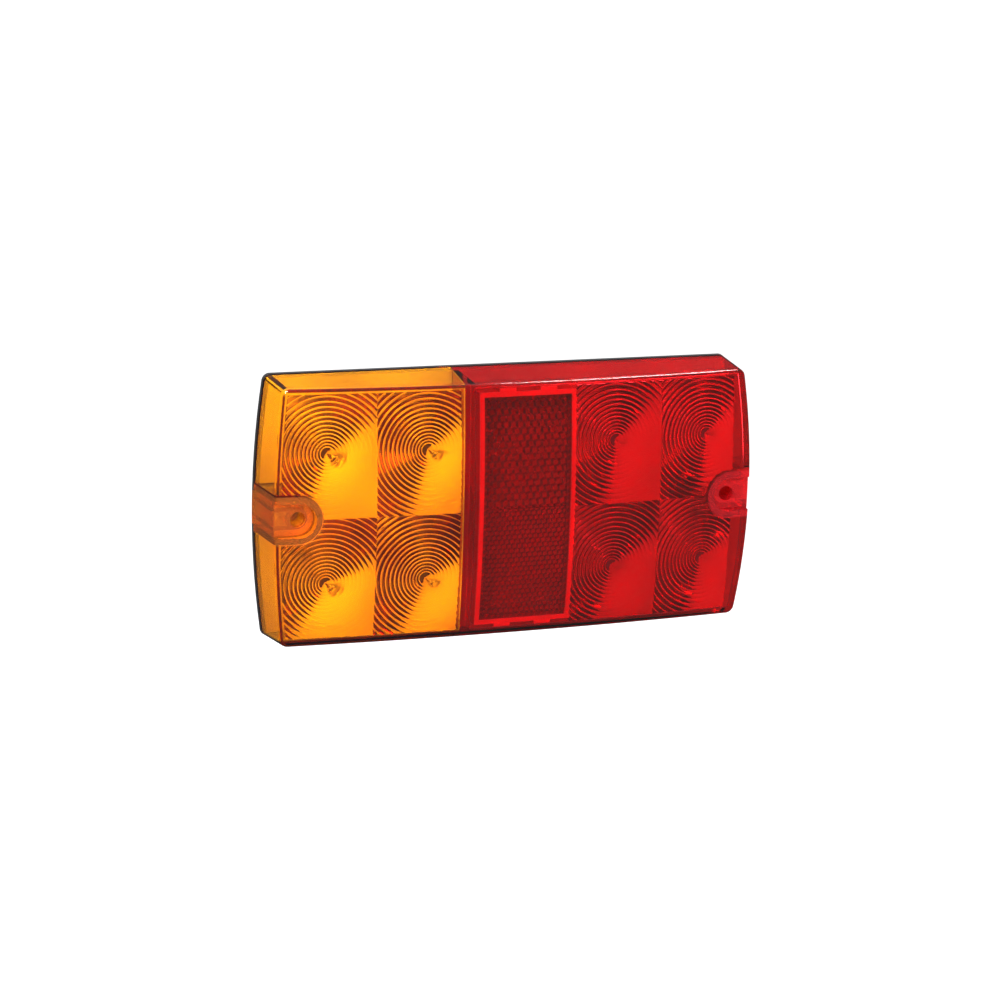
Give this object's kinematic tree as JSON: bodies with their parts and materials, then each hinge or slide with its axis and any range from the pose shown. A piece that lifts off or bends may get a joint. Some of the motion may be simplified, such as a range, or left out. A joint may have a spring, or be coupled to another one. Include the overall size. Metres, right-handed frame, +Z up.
{
  "type": "trailer rear combination lamp",
  "caption": "Rectangular LED rear lamp for a trailer: amber indicator half, red stop and tail half with a reflex reflector, screwed to a flat panel.",
  "frame": {"origin": "centre of the base's flat back face, which rests on the vehicle's panel", "axes": "+X along the lamp's width, to the right when the lens is seen from outside; +Z up; the lens faces -Y and the back face's outward normal is +Y"},
  "size_m": [0.15, 0.0235, 0.078],
  "materials": {
    "base_plastic": "fine moulded texture",
    "amber_plastic": "clear amber, polished outside",
    "red_plastic": "clear red, polished outside",
    "reflector_plastic": "clear red with moulded prisms",
    "cover_plastic": "smooth red",
    "board": "white solder mask",
    "led": "clear dome on a white package",
    "seal_rubber": "light grey silicone sealant",
    "screw_steel": "zinc plated",
    "grommet_rubber": "soft",
    "chip_plastic": "moulded",
    "resistor_body": "glazed",
    "can_aluminium": "drawn can",
    "terminal_brass": "tinned brass"
  },
  "bodies": {
    "root": {"base_housing": "base_plastic", "amber_lens": "amber_plastic", "red_lens": "red_plastic", "reflex_reflector": "reflector_plastic", "reflex_cover": "cover_plastic", "led_board": "board", "amber_led_1": "led", "amber_led_2": "led", "amber_led_3": "led", "amber_led_4": "led", "red_led_1": "led", "red_led_2": "led", "red_led_3": "led", "red_led_4": "led", "lens_seal": "seal_rubber", "board_screws": "screw_steel", "cable_grommet": "grommet_rubber", "amber_regulator": "chip_plastic", "red_regulator": "chip_plastic", "amber_resistors": "resistor_body", "red_resistors": "resistor_body", "reverse_diodes": "chip_plastic", "capacitors": "can_aluminium", "wire_terminals": "terminal_brass"}
  },
  "joints": []
}
